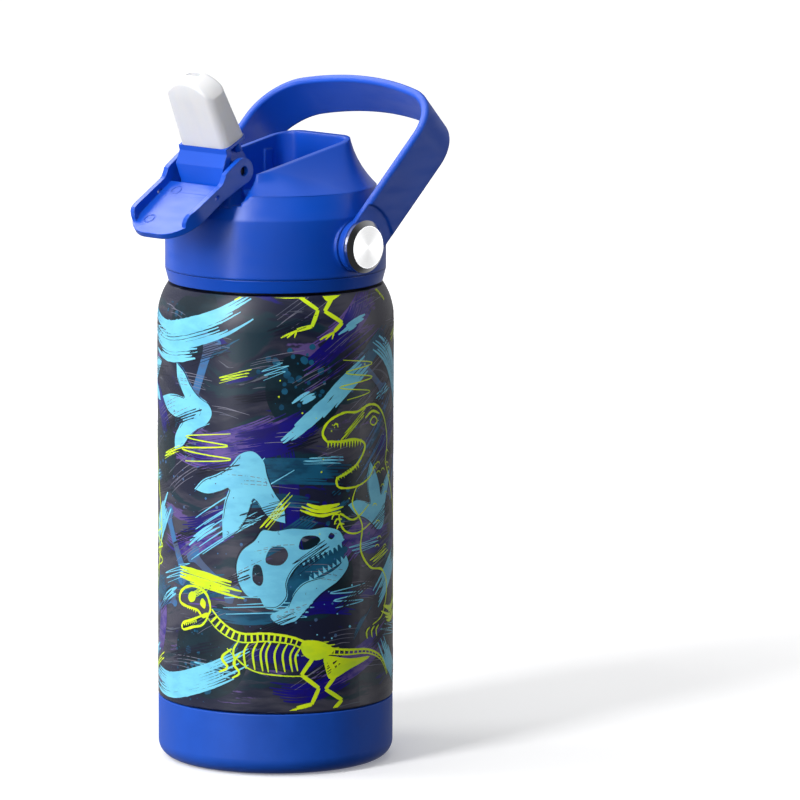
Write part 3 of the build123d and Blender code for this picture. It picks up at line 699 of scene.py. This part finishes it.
SKULL = (
    (-17, 3), (-15.5, 8.5), (-12, 12), (-7, 13.4), (-3.5, 15.4), (0, 13.6), (5, 12.2), (10, 9.4),
    (15, 7.6), (18.6, 4.2), (19, 1.0), (19, 1.0), (14, 0.6), (9, 1.4), (4, 1.6), (0, 0.2),
    (-3.4, -2.6), (-5, -6.6), (-9, -8.4), (-12.4, -7.0), (-13, -3.0), (-16, -1.4),
)
SKULL_EYE = ((-6.6, 6.0), (-3.6, 9.4), (0.2, 8.2), (0.4, 5.0), (-3.0, 3.4))
SKULL_CHEEK = ((-12.6, 2.4), (-10.6, 6.4), (-8.6, 5.6), (-9.4, 1.6), (-11.2, 0.0))
SKULL_SNOUT = ((4.4, 5.6), (6.8, 8.4), (10.6, 7.0), (11.4, 4.8), (7.6, 4.0))
SKULL_NOSTRIL = ((14.2, 4.6), (15.6, 5.4), (16.4, 4.0), (15.0, 3.4))
SKULL_MOUTH = ((-8, -8), (-2, -2), (4, 1), (17, 0.8), (16, -4.4), (8, -6), (0, -5.4), (-4, -9.6))
JAW = (
    (-12, -9.6), (-6, -9.2), (-2.4, -6.0), (2, -4.6), (8, -5.8), (14, -5.4), (17.6, -3.6),
    (17.6, -3.6), (17, -7.0), (12, -9.4), (5, -10.2), (-1, -12.4), (-6, -14.4), (-10.6, -13.4),
)


def skull(ink, inside, x, y, size, turn, rng):
    """A big-toothed reptile skull in side view, jaw open."""
    holes = [
        smooth(placed(ring, x, y, size, turn), closed=True, steps=4)
        for ring in (SKULL_EYE, SKULL_CHEEK, SKULL_SNOUT, SKULL_NOSTRIL)
    ]
    inside.polygon(smooth(placed(SKULL_MOUTH, x, y, size, turn), closed=True, steps=4))
    ink.polygon(smooth(placed(SKULL, x, y, size, turn), closed=True, steps=5), holes)
    ink.polygon(smooth(placed(JAW, x, y, size, turn), closed=True, steps=5))
    upper = placed(((3, 1.8), (18, 1.2)), x, y, size, turn)
    lower = placed(((16.6, -4.8), (3, -5.0)), x, y, size, turn)
    ink.teeth(upper[0], upper[1], 9, 2.3 * size, rng)
    ink.teeth(lower[0], lower[1], 8, 1.9 * size, rng)


SPINE = (
    (-24, 13.5), (-20, 9.5), (-14, 6.6), (-6, 6.8), (2, 5.6), (10, 2.4), (20, 0.4), (30, -0.8),
    (38, -4.5), (43, -10.5),
)
WALKER_SKULL = (
    (-24.6, 13.0), (-26.0, 18.0), (-30.0, 20.0), (-34.5, 19.4), (-37.6, 17.0), (-37.6, 14.2),
    (-34.0, 13.2), (-29.6, 12.6), (-27.4, 10.6),
)
WALKER_JAW = (
    (-25.2, 12.0), (-27.6, 8.2), (-31.6, 7.0), (-36.2, 5.6), (-36.4, 7.6), (-31.6, 9.4), (-28.0, 11.0),
)
WALKER_EYE = ((-33.8, 16.4), (-32.4, 18.2), (-30.4, 17.8), (-30.8, 15.6), (-32.8, 14.8))
WALKER_CHEEK = ((-28.6, 14.6), (-27.8, 16.6), (-26.4, 15.4), (-26.8, 13.4))
HIP = ((6, 4.4), (12, 3.6), (16, 0.6), (11, -2.0), (7, -1.2), (5, 1.4))
TAIL_ROOT = ((13, -1), (22, -2.6), (31, -3.2), (22, -6.0), (15, -8.6), (13, -5))
# how far along the spine, and how far below it, the belly line runs
BELLY = ((0.12, 4), (0.2, 8.6), (0.34, 10.6), (0.46, 8.4))
BACK_DEPTH, BACK_TAPER = 3.2, 2.6
BODY_END = 30
RIBS = 9
FIRST_RIB, RIB_GAP = 0.17, 0.034
RIB_DROP, RIB_BULGE = 7.5, 2.2
TOES = (-3.6, -2.2, -0.6)
NEAR_ARM = ((-17, 1.5), (-20.5, -1.5), (-18.5, -4.5), (-21.5, -6.2))
FAR_ARM = ((-14, 0.5), (-16.5, -3.0), (-14.5, -6.0), (-17.0, -7.8))
NEAR_LEG = ((10.5, 1.0), (5.0, -6.5), (10.8, -11.0), (8.4, -16.0), (3.6, -17.0))
FAR_LEG = ((12.0, 0.5), (17.0, -7.0), (13.0, -11.5), (19.0, -15.5), (16.0, -18.0))


def walker(ink, x, y, size, rng):
    """A long-tailed two-legged skeleton in side view, walking to the left."""

    def at(points):
        return placed(points, x, y, size)

    top = even(smooth(at(SPINE)), LINE_SPACING)
    depth = [size * (BACK_DEPTH - BACK_TAPER * i / len(top)) for i in range(len(top))]
    low = [p - sideways(top, i) * depth[i] for i, p in enumerate(top)]
    ink.ribbon(top, 0.75, 0.5, 0.15, rng)
    ink.ribbon(low, 0.45, 0.5, 0.15, rng)
    for i in range(3, len(top) - 2, 2):
        ink.ribbon(even([top[i], low[i]], 0.6), 0.72 if i < BODY_END else 0.5, 0.8)
    for k in range(RIBS):
        i = int(len(top) * (FIRST_RIB + RIB_GAP * k))
        drop = size * (RIB_DROP + RIB_BULGE * math.sin(math.pi * k / (RIBS - 1)))
        root = low[i]
        rib = [root, root + Vector((-1.6, -drop * 0.4)), root + Vector((-0.9, -drop))]
        ink.line([tuple(p) for p in rib], 0.7)
    belly = [tuple(low[int(len(top) * along)] - Vector((-0.5, size * down))) for along, down in BELLY]
    ink.line(belly, 0.5, rng=rng)
    ink.line(at(WALKER_SKULL), 0.85, closed=True, rng=rng)
    ink.line(at(WALKER_JAW), 0.75, closed=True, rng=rng)
    for patch in (WALKER_EYE, WALKER_CHEEK):
        ink.polygon(smooth(at(patch), True, 4))
    for gum, count, length in (
        (((-37.2, 14.0), (-29.8, 12.6)), 8, 1.1),
        (((-30.0, 9.4), (-36.0, 7.4)), 7, -1.0),
    ):
        ink.teeth(*at(gum), count, length * size, rng)
    for patch in (HIP, TAIL_ROOT):
        ink.polygon(smooth(at(patch), True, 4))
    for leg in (NEAR_LEG, FAR_LEG):
        for a, b in zip(leg, leg[1:]):
            ends = at((a, b))
            ink.ribbon(even([Vector(ends[0]), Vector(ends[1])], 0.7), 1.35 * size, 0.75)
        a, b = leg[-1]
        for toe in TOES:
            ink.line(at(((a, b), (a + toe, b - 1.6), (a + toe * 1.4, b - 2.4))), 0.6)
    ink.line(at(NEAR_ARM), 0.9)
    ink.line(at(FAR_ARM), 0.8)


BEAST_HEAD = (
    (14, -9), (15.5, -2), (13.2, 5), (8.6, 9.6), (3.4, 10.6), (-1.6, 9.0), (-7.0, 9.2), (-12.4, 7.0),
    (-14.6, 3.4), (-13.2, 0.6), (-13.2, 0.6), (-8, 0.2), (-2.6, 0.4), (1.8, -1.6), (0.2, -5.6),
    (-4.4, -9.4), (-9.8, -11.2), (-9.8, -11.2), (-8.8, -14.2), (-2.0, -14.6), (4, -12.4), (7.4, -8.4),
)
BEAST_BODY = (
    (14, -9), (20, -19), (25, -29), (26, -40), (24.4, -50), (20.6, -56), (22, -60),
)
BEAST_FRONT = (
    (-1.8, -14.6), (-3.6, -20), (0.6, -27), (0.0, -35), (4.6, -41), (12, -43), (15.6, -49), (12.2, -57),
    (6, -59.6),
)
BEAST_ARM = ((3.8, -21), (-3.0, -25), (-8.6, -22.6), (-7.0, -27.8), (-1.6, -29.4), (4.6, -27.0))
BEAST_EYE = ((4.4, 5.0), (6.4, 6.6), (8.4, 5.0), (6.4, 3.8))
BEAST_BROW = ((2.0, 6.6), (5.6, 8.4), (9.8, 7.0))
BEAST_NOSTRIL = ((-10.8, 5.4), (-9.6, 6.2), (-9.2, 4.8))
BEAST_SCALES = 15
BEAST_CLAWS = 3


def beast(ink, x, y, size, rng):
    """Line drawing of a big-jawed reptile standing up and looking left."""

    def at(points):
        return placed(points, x, y, size)

    ink.line(at(BEAST_HEAD), 0.8, rng=rng)
    ink.line(at(BEAST_BODY), 0.75, rng=rng)
    ink.line(at(BEAST_FRONT), 0.7, rng=rng)
    ink.line(at(BEAST_ARM), 0.65, rng=rng)
    ink.line(at(BEAST_EYE), 0.5, closed=True, rng=rng)
    ink.line(at(BEAST_BROW), 0.8)
    ink.line(at(BEAST_NOSTRIL), 0.6)
    ends = at(((-13.2, 0.8), (0.4, 0.2), (-1.2, -7.0), (-9.8, -11.0)))
    ink.teeth(ends[0], ends[1], 12, 2.5 * size, rng)
    ink.teeth(ends[2], ends[3], 9, -1.9 * size, rng)
    for _ in range(BEAST_SCALES):
        a, b = rng.uniform(4, 18), rng.uniform(-36, -4)
        ink.line(at(((a, b), (a + 1.4, b + 0.8), (a + 2.6, b - 0.2))), 0.35)
    for claw in range(BEAST_CLAWS):
        a, b = 4.4 + 2.6 * claw, -60.2
        ink.line(at(((a, b), (a - 1.6, b - 1.2), (a - 1.2, b - 3.4))), 0.7)
    for claw in range(BEAST_CLAWS):
        a, b = -8.6 + 0.9 * claw, -22.8 - 1.6 * claw
        ink.line(at(((a, b), (a - 2.0, b + 0.2), (a - 2.8, b - 1.4))), 0.6)


def zigzag(ink, x, y, width, height, turns, rng, weight=0.45):
    """A quick scribble that runs to and fro as it climbs."""
    points = []
    for k in range(turns + 1):
        side = width * (0.5 if k % 2 else -0.5) * rng.uniform(0.6, 1.1)
        points.append((x + side, y + height * k / turns + rng.uniform(-0.4, 0.4)))
    ink.line(points, weight)


def streaks(ink, x, y, length, slope, count, gap, rng, weight=0.35):
    """Loose parallel pen lines."""
    for k in range(count):
        start = x + rng.uniform(-3, 3)
        run = length * rng.uniform(0.5, 1.0)
        up = y + k * gap + rng.uniform(-0.3, 0.3)
        middle = (start + run * 0.5, up + slope * run * 0.5 + 0.4)
        ink.line(((start, up), middle, (start + run, up + slope * run)), weight)


def loops(ink, x, y, width, height, turn, rng, weight=0.3, count=4):
    """A loose pen line that runs out and back in long narrow loops."""
    points = []
    for k in range(count):
        up = height * (k / count - 0.5)
        left, right = -width * rng.uniform(0.3, 0.55), width * rng.uniform(0.25, 0.55)
        points += [(left, up), (right, up + 0.5), (right + 0.9, up + 0.4 * height / count)]
        points += [(0.2 * width, up + 0.7 * height / count)]
    ink.line(placed(points, x, y, 1.0, turn), weight)


# the first and last points of the stretches that get a dark outline
FOOTPRINT_SPANS = ((1, 6), (7, 12), (13, 18), (19, 25))
SKULL_SPANS = ((0, 6), (7, 11), (14, 20))
JAW_SPANS = ((1, 5), (7, 13))
CONTOUR_WEIGHT = 0.28


def contour(ink, points, x, y, size, turn, shift, spans):
    """Stretches of a figure's outline, drawn again a little beside it."""
    for start, stop in spans:
        ink.line(placed(points[start:stop], x + shift[0], y + shift[1], size, turn), CONTOUR_WEIGHT)


GOLDEN, GOLDEN_REST = 0.618, 0.382
PEN_SEED = 29


def spread(count, half, low, height, ratio=GOLDEN, first=0.0, drift=0.0):
    """Places that fill the wall evenly: each a fixed share further across and one step higher."""
    for k in range(count):
        across = (first + k * ratio) % 1.0 + drift * k
        yield -half + 2 * half * across, low + height * (k + 0.5) / count


def pen_work(pen, night, sky, lime, teal):
    """Loose pen lines, hatching and dabs spread evenly over the ground between the figures."""
    rng = random.Random(PEN_SEED)
    for x, y in spread(46, 57, 23, 122):
        slope = 0.25 + 0.4 * math.sin(0.07 * x + 0.05 * y)
        length, count, gap = rng.uniform(9, 19), rng.randint(3, 6), rng.uniform(0.7, 1.5)
        streaks(pen, x - 7, y, length, slope, count, gap, rng, 0.2)
    for x, y in spread(26, 57, 26, 116, drift=0.004):
        loops(night, x, y, rng.uniform(12, 20), rng.uniform(3, 6), rng.uniform(5, 35), rng)
    for x, y in spread(12, 55, 28, 112, first=0.31):
        loops(sky, x, y, rng.uniform(9, 15), rng.uniform(2.5, 5), rng.uniform(-10, 40), rng, 0.26, 3)
    for k in range(9):
        x, y = -52 + 13 * k, 30 + 110 * (k * GOLDEN % 1.0)
        loops(lime, x, y, rng.uniform(8, 13), rng.uniform(2, 4), rng.uniform(0, 50), rng, 0.28, 3)
    for k, (x, y) in enumerate(spread(16, 56, 28, 114, ratio=GOLDEN_REST)):
        reach, turn = rng.uniform(4, 8), rng.uniform(10, 55)
        dab = placed(((-reach, 0), (0, 0.5), (reach, 0)), x, y, 1.0, turn)
        (teal if k % 3 else sky).brush(dab, rng.uniform(1.6, 3.2), 3, rng, 0.4)


PRINT_SEED = 11
WALKER_PLACE = (3, 38)
PATTERN_HEIGHT = 117
BEAST_PLACE = (29, 103)
FIGURE_SIZE = 0.98
SKULL_PLACE = (5.5, 64, 1.0, 24)
CLOUD = ((-11, -3), (-9, 6), (-2, 10), (5, 8), (12, 9), (15, 0), (11, -9), (3, -14), (-6, -12))
# where figures stand: across, up, size and turn in degrees
CLOUDS = (
    (8, 121, 1.0, 0), (-24, 38, 1.1, 30), (30, 84, 0.9, 80), (-46, 96, 0.8, 140), (16, 62, 0.9, 200),
    (-30, 140, 0.8, 20), (48, 44, 0.8, 10),
)
BONES = (
    (-40, 76, 1.5, -62), (-26, 66, 1.3, -38), (-22, 131, 1.6, -110), (30, 126, 1.2, -40),
    (48, 86, 1.2, 60), (-50, 48, 1.1, 20),
)
FOOTPRINTS = ((-20.5, 112, 1.22, 88), (-7, 101, 1.42, 164), (40, 74, 1.1, 20), (50, 116, 1.0, -60))
# each sweep's path, width and number of bristles
VIOLET_SWEEPS = (
    (((-38, 103), (-24, 100), (-8, 104), (8, 111)), 11, 15),
    (((12, 132), (24, 139), (38, 150)), 8, 10),
    (((-44, 72), (-30, 70), (-12, 78)), 6, 8),
    (((8, 30), (24, 33), (44, 42)), 8, 11),
    (((20, 66), (30, 74), (46, 76)), 9, 10),
    (((-52, 30), (-46, 44), (-47, 60)), 6, 8),
)
DEEP_SWEEPS = (
    (((-12, 102), (2, 105), (14, 113)), 9, 11),
    (((2, 104), (4, 92), (4.5, 76), (7, 66)), 6.4, 7),
    (((-34, 76), (-24, 78), (-8, 86)), 5, 7),
    (((10, 126), (20, 134), (30, 146)), 6, 7),
    (((4, 52), (14, 54), (27, 52)), 7, 9),
    (((-2, 27), (10, 26), (26, 31)), 6, 7),
    (((38, 96), (46, 104), (56, 108)), 6, 7),
    (((-56, 118), (-48, 112), (-42, 104)), 6, 7),
)
TEAL_SWEEPS = (
    (((-14, 94), (4, 95), (26, 93)), 8, 8),
    (((-12, 85), (2, 86), (16, 84)), 4, 4),
    (((-40, 60), (-26, 58), (-12, 60)), 7, 9),
    (((-56, 56), (-48, 54), (-40, 57)), 8, 9),
    (((-8, 68), (2, 74), (14, 82)), 5, 6),
    (((26, 122), (34, 130), (44, 136)), 6, 7),
    (((-22, 50), (-8, 49), (6, 51)), 4, 4),
)
SKY_SWEEPS = (
    (((-56, 137), (-40, 134), (-20, 139), (-6, 147)), 9, 9),
    (((-52, 131), (-40, 129), (-26, 131)), 6, 6),
    (((-57, 27), (-40, 25), (-22, 30), (-6, 38)), 8, 9),
    (((14, 112), (22, 120), (34, 128)), 6, 5),
    (((2, 104), (12, 112), (22, 120)), 4, 4),
    (((-52, 68), (-46, 76), (-40, 84)), 7, 6),
    (((36, 52), (46, 60), (56, 66)), 7, 8),
    (((34, 134), (44, 128), (52, 118), (56, 106)), 7, 7),
    (((40, 40), (46, 32), (56, 24)), 6, 6),
)
# ink, across, up, reach, number of dots and largest radius
SPATTERS = (
    ("teal", 6, 124, 12, 55, 1.3), ("teal", -40, 137, 8, 28, 1.4), ("teal", -28, 33, 12, 45, 1.3),
    ("teal", 28, 80, 13, 45, 1.1), ("slate", 0, 60, 26, 60, 0.7), ("slate", 30, 108, 14, 30, 0.7),
    ("sky", 8, 56, 20, 30, 0.5), ("lime", 20, 100, 30, 22, 0.35), ("deep", 18, 84, 9, 22, 1.2),
    ("slate", -34, 90, 22, 46, 0.6),
)


def artwork():
    """The whole print, one seeded stream of chance for every hand-drawn wobble."""
    rng = random.Random(PRINT_SEED)
    ground = Ink("shade", 0, (0.0012, 0.012, 0.022), (0.002, 0.02, 0.034))
    violet = Ink("violet", 1, (0.13, 0.08, 0.32), (0.02, 0.008, 0.22))
    deep = Ink("deep_blue", 2, (0.004, 0.001, 0.21), (0.008, 0.004, 0.14))
    teal = Ink("teal", 3, (0.006, 0.1, 0.2), (0.003, 0.055, 0.12))
    slate = Ink("slate", 4, (0.04, 0.16, 0.38), (0.07, 0.1, 0.19))
    sky = Ink("sky", 5, (0.19, 0.64, 0.86), (0.15, 0.55, 0.79))
    pen = Ink("pen", 4.5, (0.2, 0.2, 0.27), (0.1, 0.11, 0.17))
    night = Ink("night", 5.5, (0.003, 0.006, 0.02), (0.006, 0.008, 0.03))
    lime = Ink("lime", 6, (0.72, 0.92, 0.012), (0.6, 0.85, 0.02))

    # dark clouds
    for place in CLOUDS:
        ground.polygon(smooth(placed(CLOUD, *place), closed=True))

    # dry brush sweeps
    for ink, sweeps, fray in (
        (violet, VIOLET_SWEEPS, 0.25), (deep, DEEP_SWEEPS, 0.18), (teal, TEAL_SWEEPS, 0.25),
        (sky, SKY_SWEEPS, 0.3),
    ):
        for points, width, bristles in sweeps:
            ink.brush(points, width, bristles, rng, fray)

    inks = {"teal": teal, "slate": slate, "sky": sky, "lime": lime, "deep": deep}
    for name, x, y, reach, count, largest in SPATTERS:
        inks[name].spatter(x, y, reach, count, rng, largest)

    # figures, outlined in places with a dark pen line
    for place in BONES:
        slate.polygon(smooth(placed(BONE, *place), closed=True, steps=4))
    for place in FOOTPRINTS:
        footprint(sky, slate, *place)
        contour(night, FOOTPRINT, *place, (0.35, -0.35), FOOTPRINT_SPANS)
    skull(sky, teal, *SKULL_PLACE, rng)
    contour(night, SKULL, *SKULL_PLACE, (-0.3, 0.35), SKULL_SPANS)
    contour(night, JAW, *SKULL_PLACE, (0.2, -0.35), JAW_SPANS)
    walker(lime, *WALKER_PLACE, FIGURE_SIZE, rng)
    beast(lime, *BEAST_PLACE, FIGURE_SIZE, rng)
    # the pattern starts again above, so the shoulder shows only this walker's legs
    walker(lime, WALKER_PLACE[0], WALKER_PLACE[1] + PATTERN_HEIGHT, FIGURE_SIZE, rng)

    # pen scribbles
    zigzag(lime, -24, 96, 20, 10, 5, rng)
    zigzag(lime, 28, 116, 14, 12, 6, rng, 0.4)
    zigzag(lime, -50, 60, 8, 16, 6, rng, 0.5)
    zigzag(sky, 24, 52, 16, 6, 5, rng, 0.4)
    zigzag(sky, -44, 131, 16, 7, 6, rng, 0.35)
    streaks(sky, -26, 66, 34, 0.62, 7, 2.2, rng, 0.42)
    streaks(sky, -14, 50, 26, 0.04, 4, 1.8, rng, 0.36)
    streaks(violet, -30, 52, 22, 0.02, 5, 2.0, rng, 0.45)
    streaks(violet, 10, 118, 30, 0.5, 6, 2.0, rng, 0.5)
    streaks(slate, 26, 88, 26, 0.9, 6, 2.4, rng, 0.45)
    lime.brush(((-34, 61), (-24, 60), (-8, 57)), 5, 5, rng, 0.4)
    lime.brush(((8, 84), (14, 82), (22, 83)), 3.6, 3, rng, 0.1)
    lime.brush(((40, 48), (48, 46), (56, 50)), 5, 5, rng, 0.4)
    lime.line(((-56, 104), (-51, 88), (-47, 74), (-50, 62), (-56, 58)), 0.7)
    lime.line(((-57, 50), (-52, 56), (-50, 66), (-53, 78)), 0.6)
    pen_work(pen, night, sky, lime, teal)
    for ink in (ground, violet, deep, teal, slate, pen, sky, night, lime):
        ink.wrap()


artwork()
